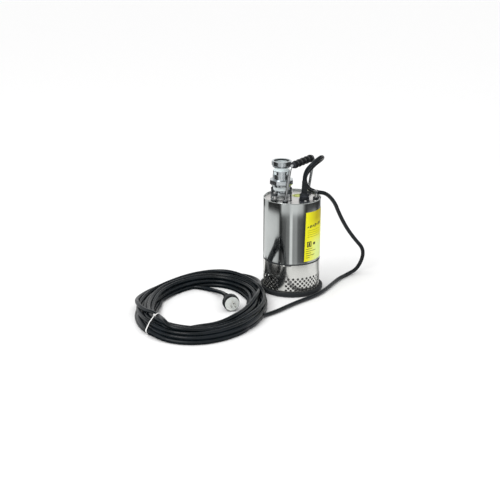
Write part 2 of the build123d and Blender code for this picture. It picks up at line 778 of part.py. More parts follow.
# ----------------------------------------------------------------------- plug
plug_out = Vector(sin(radians(PLUG_TURN)), -cos(radians(PLUG_TURN)), 0)
plug_plane = Plane(PLUG_FACE, x_dir=plug_out.cross(Vector(0, 0, 1)), z_dir=plug_out)
with BuildPart() as plug_body:
    with BuildSketch(Plane(PLUG_FACE, x_dir=(0, 0, 1), z_dir=-plug_plane.x_dir)):
        with BuildLine():
            Polyline(
                (0, -3),
                (23.5, -3),
                (25.4, -5),
                (25.4, -24),
                (22, -33),
                (18, -38),
                (14, -46),
                (11, -50),
                (8.5, -76),
                (0, -76),
                close=True,
            )
        make_face()
    revolve(axis=Axis(PLUG_FACE, plug_out))
pieces["plug_body"] = plug_body

BLADE_SPREAD = 6.35
with BuildPart(plug_plane) as plug_face:
    with Locations((0, 0, -3)):
        Cylinder(22.5, 3, align=(Align.CENTER, Align.CENTER, Align.MIN))
    with Locations((BLADE_SPREAD, 4, -1), (-BLADE_SPREAD, 4, -1)):
        Box(1.6, 6.5, 10, mode=Mode.SUBTRACT)
    with Locations((0, -8, -1)):
        Cylinder(2.4, 10, mode=Mode.SUBTRACT)
pieces["plug_face"] = plug_face

with BuildPart(plug_plane) as plug_blades:
    with Locations((BLADE_SPREAD, 4, -3), (-BLADE_SPREAD, 4, -3)):
        Box(1.6, 6.5, 20, align=(Align.CENTER, Align.CENTER, Align.MIN))
    with Locations((0, -8, -3)):
        Cylinder(2.4, 22, align=(Align.CENTER, Align.CENTER, Align.MIN))
pieces["plug_blades"] = plug_blades

# ---------------------------------------------------------------------- write
os.makedirs("parts", exist_ok=True)
for name, piece in pieces.items():
    piece.part.label = name
    export_step(piece.part, f"parts/{name}.step")
print(len(pieces), "pieces")
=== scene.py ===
"""Looks of the submersible sump pump: steel casing, rubber foot, cable in a coil, and a plug."""

from math import atan2, cos, pi, radians, sin

import bmesh
import bpy
import numpy as np
from mathutils import Matrix, Vector


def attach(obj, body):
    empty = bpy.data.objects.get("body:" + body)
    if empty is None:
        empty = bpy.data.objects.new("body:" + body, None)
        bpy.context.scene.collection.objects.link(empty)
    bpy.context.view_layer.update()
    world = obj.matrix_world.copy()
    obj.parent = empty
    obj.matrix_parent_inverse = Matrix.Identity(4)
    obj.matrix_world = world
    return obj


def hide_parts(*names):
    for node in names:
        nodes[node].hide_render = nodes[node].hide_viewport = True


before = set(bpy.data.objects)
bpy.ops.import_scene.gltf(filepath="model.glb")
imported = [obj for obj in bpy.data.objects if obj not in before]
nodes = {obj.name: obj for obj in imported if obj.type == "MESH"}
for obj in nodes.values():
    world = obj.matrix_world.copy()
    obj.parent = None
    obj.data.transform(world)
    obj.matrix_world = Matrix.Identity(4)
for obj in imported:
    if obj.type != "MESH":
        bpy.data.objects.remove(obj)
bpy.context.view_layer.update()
scene = bpy.context.scene

MM = 0.001

# ------------------------------------------------------------------ camera and stage
camera_data = bpy.data.cameras.new("camera")
camera_data.lens = 73.44
camera_data.sensor_width = 36.0
camera = bpy.data.objects.new("camera", camera_data)
camera.location = (0.0, -3.15, 1.20)
camera.rotation_euler = (radians(71.18), 0.0, radians(2.462))
scene.collection.objects.link(camera)
scene.camera = camera
scene.view_settings.view_transform = "Standard"


# -------------------------------------------------------------------- node helpers
def new_material(name):
    """An empty node material: its tree and its principled shader."""
    material = bpy.data.materials.new(name)
    material.use_nodes = True
    tree = material.node_tree
    return material, tree, tree.nodes["Principled BSDF"]


def add(tree, kind, inputs=(), **settings):
    """Add a shader node, set its properties, and set or link its inputs."""
    made = tree.nodes.new("ShaderNode" + kind)
    for key, value in settings.items():
        setattr(made, key, value)
    for key, value in dict(inputs).items():
        if isinstance(value, bpy.types.NodeSocket):
            tree.links.new(value, made.inputs[key])
        else:
            made.inputs[key].default_value = value
    return made


def coordinates(tree, stretch=(1, 1, 1)):
    """Positions in the row frame, stretched along the axes."""
    place = add(tree, "TexCoord")
    return add(tree, "Mapping", {"Vector": place.outputs["Object"], "Scale": stretch}).outputs[0]


def noise(tree, scale, detail=4.0, stretch=(1, 1, 1), rough=0.5):
    """The value of a noise texture, from 0 to 1."""
    inputs = {
        "Vector": coordinates(tree, stretch),
        "Scale": scale,
        "Detail": detail,
        "Roughness": rough,
    }
    return add(tree, "TexNoise", inputs).outputs[0]


def ramp(tree, value, low, high, start=0.0, end=1.0):
    """Map value from start..end to low..high."""
    inputs = {0: value, 1: start, 2: end, 3: low, 4: high}
    return add(tree, "MapRange", inputs).outputs[0]


def blend_colours(tree, factor, first, second):
    """Mix two colours by a factor."""
    mix = add(tree, "Mix", {"Factor": factor}, data_type="RGBA")
    for slot, colour in ((6, first), (7, second)):
        if isinstance(colour, bpy.types.NodeSocket):
            tree.links.new(colour, mix.inputs[slot])
        else:
            mix.inputs[slot].default_value = (*colour, 1.0)
    return mix.outputs[2]


def bumps(tree, bsdf, height, strength, distance):
    """Give the shader a bump from a height."""
    inputs = {"Height": height, "Strength": strength, "Distance": distance}
    tree.links.new(add(tree, "Bump", inputs).outputs[0], bsdf.inputs["Normal"])


def surface(name, dark, light, rough, metallic=0.0, scale=40.0, grain=600.0, stretch=(1, 1, 1),
            bump=0.15, depth=0.0003, edge_wear_and_glint=None, shine=0.5):
    """A material whose colour and roughness vary softly, with a fine grain and sharp edges
    lightened, partly as wear and partly as a painted highlight.
    """
    material, tree, bsdf = new_material(name)
    patches = noise(tree, scale, 5.0)
    colour = blend_colours(tree, ramp(tree, patches, 0.0, 1.0, 0.3, 0.7), dark, light)
    if edge_wear_and_glint is not None:
        # Sharp edges are lightened: partly wear, partly a painted highlight.
        edge = add(tree, "NewGeometry").outputs["Pointiness"]
        edge_lightening = ramp(tree, edge, 0.0, 0.8, 0.52, 0.60)
        colour = blend_colours(tree, edge_lightening, colour, edge_wear_and_glint)
    tree.links.new(colour, bsdf.inputs["Base Color"])
    tree.links.new(ramp(tree, patches, rough[0], rough[1], 0.3, 0.7), bsdf.inputs["Roughness"])
    bsdf.inputs["Metallic"].default_value = metallic
    bsdf.inputs["Specular IOR Level"].default_value = shine
    bumps(tree, bsdf, noise(tree, grain, 3.0, stretch), bump, depth)
    return material


# ------------------------------------------------------------------------ materials
steel = surface("polished_steel", (0.58, 0.61, 0.60), (0.70, 0.73, 0.72), (0.06, 0.13), 1.0,
                scale=9.0, grain=90.0, stretch=(1, 1, 0.05), bump=0.08, depth=0.0006)
holed_steel = surface("strainer_steel", (0.80, 0.81, 0.77), (0.92, 0.92, 0.88), (0.12, 0.20), 1.0,
                      scale=25.0, grain=300.0, stretch=(1, 1, 0.2), bump=0.015)
lid_steel = surface("lid_steel", (0.74, 0.73, 0.71), (0.90, 0.88, 0.86), (0.24, 0.4), 1.0,
                    scale=30.0, grain=500.0, bump=0.10)
bolt_steel = surface("bolt_steel", (0.45, 0.45, 0.45), (0.66, 0.66, 0.65), (0.16, 0.28), 1.0,
                     scale=120.0, grain=900.0, bump=0.2, edge_wear_and_glint=(0.8, 0.8, 0.79))
# Painted dark reflection: steel of the nuts and studs darkened nearly to black, standing in for the
# dark surroundings they mirror.
steel_painted_dark = surface("steel_painted_dark", (0.045, 0.05, 0.055), (0.11, 0.12, 0.125), (0.22, 0.34), 1.0,
                     scale=120.0, grain=900.0, bump=0.2)
chrome = surface("chrome", (0.66, 0.68, 0.69), (0.78, 0.80, 0.81), (0.05, 0.12), 1.0,
                 scale=60.0, bump=0.04)
# Painted dark reflection: the flange's aluminium is darkened for the dark surroundings its sides
# mirror; its lighter edges are partly wear and partly a painted highlight.
flange_metal_painted_dark = surface("cast_flange", (0.26, 0.28, 0.29), (0.52, 0.55, 0.56), (0.14, 0.28), 1.0,
                       scale=45.0, grain=700.0, bump=0.22, depth=0.0004, edge_wear_and_glint=(0.86, 0.88, 0.89))
rubber = surface("black_rubber", (0.003, 0.004, 0.004), (0.009, 0.011, 0.012), (0.42, 0.6),
                 scale=35.0, grain=900.0, bump=0.3, edge_wear_and_glint=(0.03, 0.034, 0.038), shine=0.2)
grip_rubber = surface("grip_rubber", (0.002, 0.003, 0.004), (0.008, 0.010, 0.012), (0.30, 0.42),
                      scale=60.0, grain=1200.0, bump=0.3, edge_wear_and_glint=(0.03, 0.034, 0.04), shine=0.3)
gland_plastic = surface("gland_plastic", (0.005, 0.006, 0.008), (0.014, 0.017, 0.022), (0.3, 0.45),
                        scale=60.0, grain=900.0, bump=0.2, edge_wear_and_glint=(0.04, 0.045, 0.055), shine=0.3)
sheath = surface("cable_sheath", (0.001, 0.003, 0.004), (0.006, 0.010, 0.014), (0.22, 0.34),
                 scale=18.0, grain=500.0, bump=0.15, shine=0.35)
plug_rubber = surface("plug_rubber", (0.002, 0.003, 0.004), (0.008, 0.010, 0.012), (0.34, 0.48),
                      scale=60.0, grain=900.0, bump=0.25, edge_wear_and_glint=(0.03, 0.035, 0.04), shine=0.3)
plug_face_grey = surface("plug_face_grey", (0.72, 0.76, 0.73), (0.84, 0.86, 0.83), (0.3, 0.45),
                         scale=90.0, grain=900.0, bump=0.12)
nickel = surface("blade_nickel", (0.78, 0.77, 0.74), (0.88, 0.87, 0.84), (0.35, 0.45), 1.0,
                 scale=150.0)
tie_nylon = surface("tie_nylon", (0.80, 0.80, 0.79), (0.90, 0.90, 0.88), (0.35, 0.5), scale=150.0)
inner_black = surface("inner_black", (0.01, 0.01, 0.011), (0.02, 0.02, 0.022), (0.5, 0.7),
                      scale=50.0)
inner_metal = surface("inner_metal", (0.20, 0.20, 0.20), (0.34, 0.34, 0.34), (0.35, 0.5), 1.0,
                      scale=50.0)
copper = surface("winding_copper", (0.45, 0.20, 0.09), (0.72, 0.38, 0.20), (0.3, 0.45), 1.0,
                 scale=80.0, grain=500.0, stretch=(0.2, 0.2, 1), bump=0.5)
ceramic = surface("seal_ceramic", (0.75, 0.75, 0.72), (0.85, 0.85, 0.82), (0.15, 0.25), scale=90.0)
grey_plastic = surface("inner_grey", (0.12, 0.12, 0.13), (0.2, 0.2, 0.22), (0.4, 0.55), scale=60.0)
print_ink = surface("print_ink", (0.012, 0.012, 0.010), (0.03, 0.03, 0.02), (0.35, 0.5),
                    scale=200.0)
sticker_film = surface("sticker_film", (0.62, 0.72, 0.03), (0.72, 0.80, 0.08), (0.25, 0.4),
                       scale=60.0)


def label_film():
    """Yellow film with a painted pale green-white reflection near its lower right corner and a
    painted shade at its upper right; positions in metres.
    """
    material, tree, bsdf = new_material("label_film")
    place = add(tree, "SeparateXYZ", {0: coordinates(tree)})
    low = ramp(tree, place.outputs[2], 1.0, 0.0, 0.165, 0.205)
    side = ramp(tree, place.outputs[1], 0.0, 1.0, -0.078, -0.05)
    # Painted reflection: the lower right corner is paled towards green-white.
    painted_reflection_mask = add(tree, "Math", {0: low, 1: side}, operation="MULTIPLY")
    high = ramp(tree, place.outputs[2], 0.0, 1.0, 0.215, 0.255)
    # Painted shade: the upper right is darkened towards brown.
    painted_shade_mask = add(tree, "Math", {0: high, 1: side}, operation="MULTIPLY")
    dirt = noise(tree, 40.0, 5.0)
    yellow = blend_colours(tree, dirt, (0.74, 0.70, 0.008), (0.86, 0.82, 0.012))
    with_painted_shade = blend_colours(tree, painted_shade_mask.outputs[0], yellow, (0.50, 0.42, 0.004))
    with_painted_reflection = blend_colours(tree, painted_reflection_mask.outputs[0], with_painted_shade, (0.74, 0.86, 0.30))
    tree.links.new(with_painted_reflection, bsdf.inputs["Base Color"])
    tree.links.new(ramp(tree, dirt, 0.28, 0.42), bsdf.inputs["Roughness"])
    bsdf.inputs["Specular IOR Level"].default_value = 0.2
    bumps(tree, bsdf, noise(tree, 400.0), 0.08, 0.0002)
    return material


PORT_X, PORT_Y = -0.035, -0.004  # the discharge's axis
# Nearer to that axis than the first distance, the adapter has painted light: pale and matt in its
# bore and on the waist under the lip; further than the second, it has none of it.
BORE_EDGE = (0.0262, 0.0270)


def adapter_metal():
    """Cast aluminium, with the bore painted pale and matt as painted light in it."""
    material, tree, bsdf = new_material("adapter_metal")
    place = add(tree, "SeparateXYZ", {0: coordinates(tree)})
    east = add(tree, "Math", {0: place.outputs[0], 1: -PORT_X}, operation="ADD")
    north = add(tree, "Math", {0: place.outputs[1], 1: -PORT_Y}, operation="ADD")
    flat = add(tree, "CombineXYZ", {0: east.outputs[0], 1: north.outputs[0]})
    away = add(tree, "VectorMath", {0: flat.outputs[0]}, operation="LENGTH").outputs["Value"]
    # Painted light: the bore and the waist under the lip turn pale and matt.
    painted_light_in_bore = ramp(tree, away, 1.0, 0.0, *BORE_EDGE)
    patches = ramp(tree, noise(tree, 45.0, 5.0), 0.0, 1.0, 0.3, 0.7)
    outside = blend_colours(tree, patches, (0.50, 0.54, 0.56), (0.70, 0.74, 0.76))
    colour = blend_colours(tree, painted_light_in_bore, outside, (0.74, 0.80, 0.81))
    tree.links.new(colour, bsdf.inputs["Base Color"])
    tree.links.new(ramp(tree, painted_light_in_bore, 1.0, 0.1), bsdf.inputs["Metallic"])
    tree.links.new(ramp(tree, painted_light_in_bore, 0.2, 0.6), bsdf.inputs["Roughness"])
    bumps(tree, bsdf, noise(tree, 700.0, 3.0), 0.22, 0.0004)
    return material


def paint(material, *names):
    """Give CAD nodes a material."""
    for name in names:
        data = nodes[name].data
        data.materials.clear()
        data.materials.append(material)


paint(steel, "outer_casing")
paint(holed_steel, "strainer")
paint(lid_steel, "lid")
paint(bolt_steel, "tie_rods", "tie_rod_washers", "gland_screws")
paint(steel_painted_dark, "tie_rod_nuts", "flange_studs", "flange_nuts", "handle_nuts")
paint(chrome, "handle_rod")
paint(flange_metal_painted_dark, "discharge_flange")
paint(adapter_metal(), "hose_adapter")
paint(rubber, "base_ring", "joint_gasket", "flange_gasket", "adapter_gasket", "lid_o_ring",
      "gland_grommet", "lip_seal")
paint(gland_plastic, "gland_body", "gland_nut")
paint(plug_face_grey, "plug_face")
paint(nickel, "plug_blades")
paint(inner_black, "suction_cover", "volute", "impeller", "seal_ring", "bearing_cages")
paint(inner_metal, "base_plate", "suction_cover_screws", "impeller_nut", "impeller_key", "shaft",
      "oil_housing", "oil_plug", "motor_housing", "motor_cover", "motor_cap", "rotor_core",
      "stator_core", "bearing_outer_races", "bearing_inner_races", "bearing_balls")
paint(copper, "stator_windings")
paint(ceramic, "seal_seat")
paint(grey_plastic, "capacitor", "thermal_protector", "cable_conduit")

# ---------------------------------------------------------------------------- cords
CABLE_R = 6.5 * MM
# From the boot over a tight standing loop, down the right side to the floor, round the
# base and into the outside of the coil.
CABLE_ROUTE = [
    (0.038, -0.047, 0.374),
    (0.038, -0.047, 0.401),
    (0.063, -0.060, 0.433),
    (0.090, -0.028, 0.448),
    (0.096, 0.013, 0.432),
    (0.069, 0.037, 0.405),
    (0.036, 0.038, 0.366),
    (0.048, 0.026, 0.328),
    (0.081, 0.006, 0.322),
    (0.110, 0.017, 0.316),
    (0.138, 0.046, 0.278),
    (0.153, 0.073, 0.235),
    (0.179, 0.099, 0.179),
    (0.210, 0.127, 0.129),
    (0.251, 0.166, 0.073),
    (0.229, 0.152, 0.013),
    (0.188, 0.105, 0.0065),
    (0.156, 0.060, 0.0065),
    (0.128, -0.005, 0.0065),
    (0.089, -0.085, 0.0065),
    (0.015, -0.159, 0.0065),
    (-0.045, -0.237, 0.0065),
    (-0.088, -0.274, 0.0065),
]
# From the inside of the coil up to the plug.
TAIL_ROUTE = [
    (-0.405, -0.088, 0.0065),
    (-0.367, -0.050, 0.0065),
    (-0.325, -0.030, 0.0065),
    (-0.283, -0.044, 0.0065),
    (-0.246, -0.070, 0.009),
    (-0.222, -0.110, 0.018),
    (-0.211, -0.137, 0.0245),
    (-0.205, -0.1539, 0.0255),
]
COIL = np.array([-0.275, -0.221])  # centre of the oval that the turns follow
COIL_LONG, COIL_SHORT = 0.236, 0.169  # its half axes
COIL_TILT = radians(8.5)
ALONG = np.array([sin(COIL_TILT), cos(COIL_TILT)])
ACROSS = np.array([cos(COIL_TILT), -sin(COIL_TILT)])
WHOLE_TURNS = 14
TURN_POINTS = 90  # points per turn while the turns settle
LOOSENESS = 1.1  # room a strand takes, as a share of its diameter
LAID_RISE = 0.008  # how much higher each turn starts than the one before
BUNDLE_HALF = 0.026  # how far from the oval's line the turns may spread
# Beside the loose strand they spread less to the outside: by how many metres, around which angle
# on the oval, and over how many degrees.
NARROWED, NARROW_AT, NARROW_OVER = 0.014, 30, 20
TAIL_OUT, TAIL_ROOM = -0.031, 0.008  # the last half turn lies along the inside
LOOSE_ROOM = 0.2  # the loose strand may go anywhere
LOOSE_BLEND = 20  # degrees over which the loose strand leaves its lane and comes back
# Slow waves across the bundle: waves per turn and size in metres; each has new phases per turn.
WAVES = ((1, 0.006), (2, 0.005), (3, 0.003))
PHASES = 17
FIXED_POINTS = 10  # over these, the turns blend into the cable's free runs
# Where each turn lies, first to last: distance outside the oval's line, in millimetres.
LANES = (22, 6, -10, 19, 3, -17, 12, -4, -18, 17, 0, -14, 8, 20, -8, -29)
# One late turn crosses over the others at the left and hangs out at the back right: angle on
# the oval and distance outside its line, in millimetres.
LOOSE_TURN = 13
LOOSE_STRAND = (
    (190, -16),
    (222, -22),
    (234, -4),
    (248, 18),
    (264, 34),
    (284, 34),
    (312, 22),
    (342, 24),
    (358, 50),
    (370, 74),
    (380, 80),
    (390, 68),
    (401, 46),
    (411, 25),
    (425, 6),
    (440, -4),
    (455, -4),
)


def on_oval(angles, outside=0.0):
    """Points at angles on the coil's oval, moved outside its line by a distance."""
    a = np.atleast_1d(np.asarray(angles, float))
    line = np.outer(COIL_LONG * np.cos(a), ALONG) + np.outer(COIL_SHORT * np.sin(a), ACROSS)
    normal = np.outer(np.cos(a) / COIL_LONG, ALONG) + np.outer(np.sin(a) / COIL_SHORT, ACROSS)
    normal /= np.linalg.norm(normal, axis=1)[:, None]
    return COIL + line + normal * np.broadcast_to(outside, a.shape)[:, None]


def oval_angle(point):
    """The angle on the oval at which a point lies."""
    offset = np.array(point[:2]) - COIL
    return atan2(offset @ ACROSS / COIL_SHORT, offset @ ALONG / COIL_LONG)


def wound_turns():
    """The coil's turns as they are laid down: angles, points, which are loose, and the walls."""
    rng = np.random.default_rng(4)
    start, end = oval_angle(CABLE_ROUTE[-1]), oval_angle(TAIL_ROUTE[0])
    span = (end - start) % (2 * pi) + 2 * pi * WHOLE_TURNS
    count = int(span / (2 * pi) * TURN_POINTS)
    angle = start + span * np.linspace(0, 1, count)
    turn = (angle - start) / (2 * pi)
    outside = np.interp(turn, np.arange(len(LANES)), LANES) * MM
    for waves, size in WAVES:
        phase = np.interp(turn, np.arange(PHASES), rng.uniform(-3, 3, PHASES))
        outside += size * np.sin(waves * angle + phase)
    height = CABLE_R + LAID_RISE * turn
    strand = np.array(LOOSE_STRAND, float)
    at = strand[:, 0] + 360 * LOOSE_TURN
    here = np.degrees(angle)
    leaving = np.clip((here - at[0]) / LOOSE_BLEND, 0, 1)
    loose = leaving * np.clip((at[-1] - here) / LOOSE_BLEND, 0, 1)
    outside = outside * (1 - loose) + np.interp(here, at, strand[:, 1]) * MM * loose
    down = np.clip((turn - (turn[-1] - 0.5)) / 0.4, 0, 1)
    outside = outside * (1 - down) + TAIL_OUT * down
    height = height * (1 - down) + CABLE_R * down
    points = np.column_stack([on_oval(angle, outside), height])
    for fixed, row, order in ((CABLE_ROUTE[-1], 0, 1), (TAIL_ROUTE[0], -1, -1)):
        share = np.clip(1 - np.arange(count) / FIXED_POINTS, 0, 1)[::order, None]
        points[:, :2] += (np.array(fixed) - points[row])[:2] * share
    inner = -BUNDLE_HALF - TAIL_ROOM * down
    slack = np.exp(-(((here - NARROW_AT + 180) % 360 - 180) / NARROW_OVER) ** 2)
    outer = np.where(loose > 0, LOOSE_ROOM, BUNDLE_HALF - NARROWED * slack)
    return angle, points, loose, inner, outer


SETTLE_STEPS = 500
GENTLE_FROM, RELAXED_FROM = 0.8, 0.9  # shares of the steps: slower drop, then less stiffness
NEIGHBOURS = 6  # points this near along the cable don't push on each other
LOOSE_PULL, TURN_PULL = 0.12, 0.01  # how strongly a point keeps its place as laid
PUSH = 1.4  # above 1, overlaps clear sooner
SMOOTH_WINDOW = 5  # points to each side that the cable's stiffness averages over
DROP = 0.0005  # metres per step


def settled_turns():
    """The turns after they have dropped onto the floor and each other without overlapping."""
    angle, points, loose, inner, outer = wound_turns()
    count = len(points)
    order = np.arange(count)
    apart = np.abs(order[:, None] - order[None]) > NEIGHBOURS
    from_end = np.minimum(order, count - 1 - order)
    free = np.clip(from_end / FIXED_POINTS - 0.2, 0, 1)[:, None]
    pull = np.where(loose > 0, LOOSE_PULL * loose, TURN_PULL)[:, None] * free
    centre = on_oval(angle)
    normal = on_oval(angle, 1.0) - centre
    laid = points.copy()
    reach = 2 * CABLE_R * LOOSENESS
    window = SMOOTH_WINDOW
    for step in range(SETTLE_STEPS):
        if step % 10 == 0:
            gaps = ((points[:, None] - points[None]) ** 2).sum(2)
            first, second = np.nonzero((gaps < (2.2 * reach) ** 2) & apart)
        points[:, 2] -= DROP * free[:, 0] * (1 if step < GENTLE_FROM * SETTLE_STEPS else 0.3)
        for _ in range(2):
            between = points[first] - points[second]
            distance = np.sqrt((between**2).sum(1)) + 1e-9
            hit = distance < reach
            overlap = ((reach - distance[hit]) / 2)[:, None]
            push = between[hit] / distance[hit, None] * overlap
            where = first[hit]
            total = np.stack([np.bincount(where, push[:, c], count) for c in range(3)], 1)
            touching = np.maximum(np.bincount(where, minlength=count), 1)[:, None]
            points += total / touching * PUSH * free
            points[:, 2] = np.maximum(points[:, 2], CABLE_R)
        move = points - laid
        sums = np.cumsum(np.vstack([np.zeros(3), move]), axis=0)
        smooth = move.copy()
        span = 2 * window + 1
        smooth[window:-window] = (sums[span:] - sums[:-span]) / span
        stiff = np.array((0.3, 0.3, 0.15)) if step < RELAXED_FROM * SETTLE_STEPS else 0.1
        points = points + (smooth - move) * stiff * free
        points[:, :2] += ((laid - points) * pull)[:, :2]
        out = ((points[:, :2] - centre) * normal).sum(1)
        points[:, :2] -= normal * ((out - np.clip(out, inner, outer)) / 2 * free[:, 0])[:, None]
        points[:, 2] = np.maximum(points[:, 2], CABLE_R)
    return points


def spread(points, count):
    """The same line with its points evenly spaced."""
    run = np.r_[0, np.cumsum(np.linalg.norm(np.diff(points, axis=0), axis=1))]
    even = np.linspace(0, run[-1], count)
    return np.stack([np.interp(even, run, points[:, c]) for c in range(3)], 1)


def cord_curve(name, route, radius, material):
    """A round cord whose centreline is one smooth spline with the route as its control points."""
    curve = bpy.data.curves.new(name, "CURVE")
    curve.dimensions = "3D"
    spline = curve.splines.new("NURBS")
    spline.points.add(len(route) - 1)
    for point, place in zip(spline.points, route):
        point.co = (*place, 1.0)
    spline.order_u = 3
    spline.use_endpoint_u = True
    spline.resolution_u = 6
    curve.bevel_depth = radius
    curve.bevel_resolution = 5
    curve.use_fill_caps = True
    curve.materials.append(material)
    piece = bpy.data.objects.new(name, curve)
    scene.collection.objects.link(piece)
    return piece


settled = settled_turns()
turns = spread(settled, len(settled) // 3)[1:-1]
cable_points = [*CABLE_ROUTE, *turns.tolist(), *TAIL_ROUTE]
power_cord = cord_curve("power_cord", cable_points, CABLE_R, sheath)
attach(power_cord, "root")
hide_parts("power_cable", "cable_coil", "cable_tail")


# ------------------------------------------------------------------- mesh helpers
def finished(name, mesh, material, slot, *replaced, sharp=38):
    """Turn a bmesh into a smooth-shaded piece on the pump's body, in place of CAD nodes."""
    bmesh.ops.remove_doubles(mesh, verts=mesh.verts, dist=1e-7)
    bmesh.ops.recalc_face_normals(mesh, faces=mesh.faces)
    data = bpy.data.meshes.new(name)
    mesh.to_mesh(data)
    mesh.free()
    data.shade_smooth()
    data.set_sharp_from_angle(angle=radians(sharp))
    data.materials.append(material)
    piece = bpy.data.objects.new(name, data)
    scene.collection.objects.link(piece)
    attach(piece, "root")
    if replaced:
        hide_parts(*replaced)
    return piece


def rounded(outline, radius, steps=5):
    """A closed outline in millimetres, with its corners rounded, in metres."""
    points = []
    for i, corner in enumerate(outline):
        here = Vector(corner)
        before = Vector(outline[i - 1]) - here
        after = Vector(outline[(i + 1) % len(outline)]) - here
        reach = min(radius, 0.45 * before.length, 0.45 * after.length)
        first = here + before.normalized() * reach
        last = here + after.normalized() * reach
        if corner[0] < 0.01:
            points.append(here * MM)
            continue
        for step in range(steps + 1):
            t = step / steps
            points.append((first * (1 - t) ** 2 + here * 2 * t * (1 - t) + last * t**2) * MM)
    return points


def turned(mesh, outline, frame_at, segments=96):
    """Add a closed half section of (radius, along) points, revolved about the frame's Z axis."""
    rings = []
    for i in range(segments):
        a = 2 * pi * i / segments
        ring = [frame_at @ Vector((r * cos(a), r * sin(a), along)) for r, along in outline]
        rings.append([mesh.verts.new(point) for point in ring])
    count = len(outline)
    for i, here in enumerate(rings):
        beside = rings[(i + 1) % segments]
        for k in range(count):
            m = (k + 1) % count
            if outline[k][0] > 1e-6 or outline[m][0] > 1e-6:
                mesh.faces.new([here[k], beside[k], beside[m], here[m]])


def facing(place, toward):
    """A frame at a place with its Z axis toward a direction."""
    return Matrix.Translation(place) @ Vector(toward).to_track_quat("Z", "X").to_matrix().to_4x4()


def patch(mesh, corners, radius, thick, across=24, up=12):
    """A thin curved plate on the casing; corners are (angle in degrees, height in mm)."""
    rows = []
    for level in (radius, radius + thick):
        grid = []
        for j in range(up + 1):
            v = j / up
            left = Vector(corners[0]).lerp(Vector(corners[3]), v)
            right = Vector(corners[1]).lerp(Vector(corners[2]), v)
            row = []
            for i in range(across + 1):
                a, z = left.lerp(right, i / across)
                a = radians(a)
                row.append(mesh.verts.new((level * cos(a), level * sin(a), z * MM)))
            grid.append(row)
        rows.append(grid)
    inside, outside = rows
    for j in range(up):
        for i in range(across):
            for g in rows:
                mesh.faces.new([g[j][i], g[j][i + 1], g[j + 1][i + 1], g[j + 1][i]])
    for j in range(up):
        for i in (0, across):
            mesh.faces.new([inside[j][i], inside[j + 1][i], outside[j + 1][i], outside[j][i]])
    for i in range(across):
        for j in (0, up):
            mesh.faces.new([inside[j][i], inside[j][i + 1], outside[j][i + 1], outside[j][i]])


def slab(mesh, outline, low, high, frame_at=Matrix()):
    """Extrude a flat outline from low to high along the frame's Z axis; all in metres."""
    count = len(outline)
    ends = []
    for z in (low, high):
        ends.append([mesh.verts.new(frame_at @ Vector((x, y, z))) for x, y in outline])
    for end in ends:
        mesh.faces.new(end)
    for i in range(count):
        k = (i + 1) % count
        mesh.faces.new([ends[0][i], ends[0][k], ends[1][k], ends[1][i]])


# --------------------------------------------------------------- label and sticker
LABEL_R = 92 * MM  # the casing's radius
LABEL_THICK = 0.35 * MM
LABEL_CORNERS = ((-64, 116), (10, 116), (10, 278), (-61, 278))
label_mesh = bmesh.new()
patch(label_mesh, LABEL_CORNERS, LABEL_R, LABEL_THICK, across=48, up=24)
finished("label_sheet", label_mesh, label_film(), "label_yellow", "label")

# Generic marks: a row of slanted bars, a framed pictogram and ruled lines. Angles around the
# casing in degrees and heights in millimetres.
PRINT_R = LABEL_R + 0.3 * MM
INK = 0.15 * MM
marks = bmesh.new()


def printed_box(left, right, low, high, ink=INK, across=4, up=2):
    """A printed rectangle on the label."""
    patch(marks, ((left, low), (right, low), (right, high), (left, high)), PRINT_R, ink, across, up)


for i, height in enumerate((5, 10, 7, 12, 6, 11, 8)):
    left = -58 + i * 6.2
    middle = 229 + 0.8 * i
    low, high = middle - height / 2, middle + height / 2
    bar = ((left, low), (left + 3.6, low + 2), (left + 5.2, high), (left + 1.4, high))
    patch(marks, bar, PRINT_R, INK, across=3, up=2)
for box in ((-58, -47, 163, 166), (-58, -47, 178, 181), (-58, -56, 163, 181), (-49, -47, 163, 181)):
    printed_box(*box)
patch(marks, ((-55, 167), (-50, 167), (-51, 177), (-54, 177)), PRINT_R, INK, 4, 2)
printed_box(-42, -36, 168, 176)
for i, reach in enumerate((16, 26, 12, 22, 9)):
    low = 156 - 7.2 * i
    printed_box(-60, -60 + reach, low, low + 1.6, across=12, up=1)
for i in range(4):
    low = 196 + 7 * i
    printed_box(-57, -20, low, low + 0.9, ink=0.12 * MM, across=16, up=1)
finished("label_print", marks, print_ink, "label_yellow")

LID_TOP = 304 * MM
STICKER_R, STICKER_THICK = 18, 0.4
sticker_at = Matrix.Translation((18 * MM, 28 * MM, LID_TOP))
sticker_outline = [(0, 0), (STICKER_R, 0), (STICKER_R, STICKER_THICK), (0, STICKER_THICK)]
sticker_mesh = bmesh.new()
turned(sticker_mesh, rounded(sticker_outline, 0.15), sticker_at, 64)
finished("direction_sticker", sticker_mesh, sticker_film, "sticker_yellow_green",
         "rotation_sticker")

# A bent arrow for the direction of rotation: its band, and its head at the band's end.
ARROW_INNER, ARROW_OUTER = 10.0 * MM, 13.0 * MM
ARROW_LOW, ARROW_HIGH = 0.38 * MM, 0.5 * MM
arrow = bmesh.new()
sweep = [radians(200 - 9 * i) for i in range(22)]
band = [(ARROW_OUTER * cos(a), ARROW_OUTER * sin(a)) for a in sweep]
band += [(ARROW_INNER * cos(a), ARROW_INNER * sin(a)) for a in reversed(sweep)]
slab(arrow, band, ARROW_LOW, ARROW_HIGH, sticker_at)
tip = Matrix.Rotation(sweep[-1], 2)
head = [tip @ Vector(point) * MM for point in ((15.5, 0), (7.5, 0), (11.5, -6.5))]
slab(arrow, head, ARROW_LOW, ARROW_HIGH, sticker_at)
finished("direction_arrow", arrow, print_ink, "sticker_yellow_green")

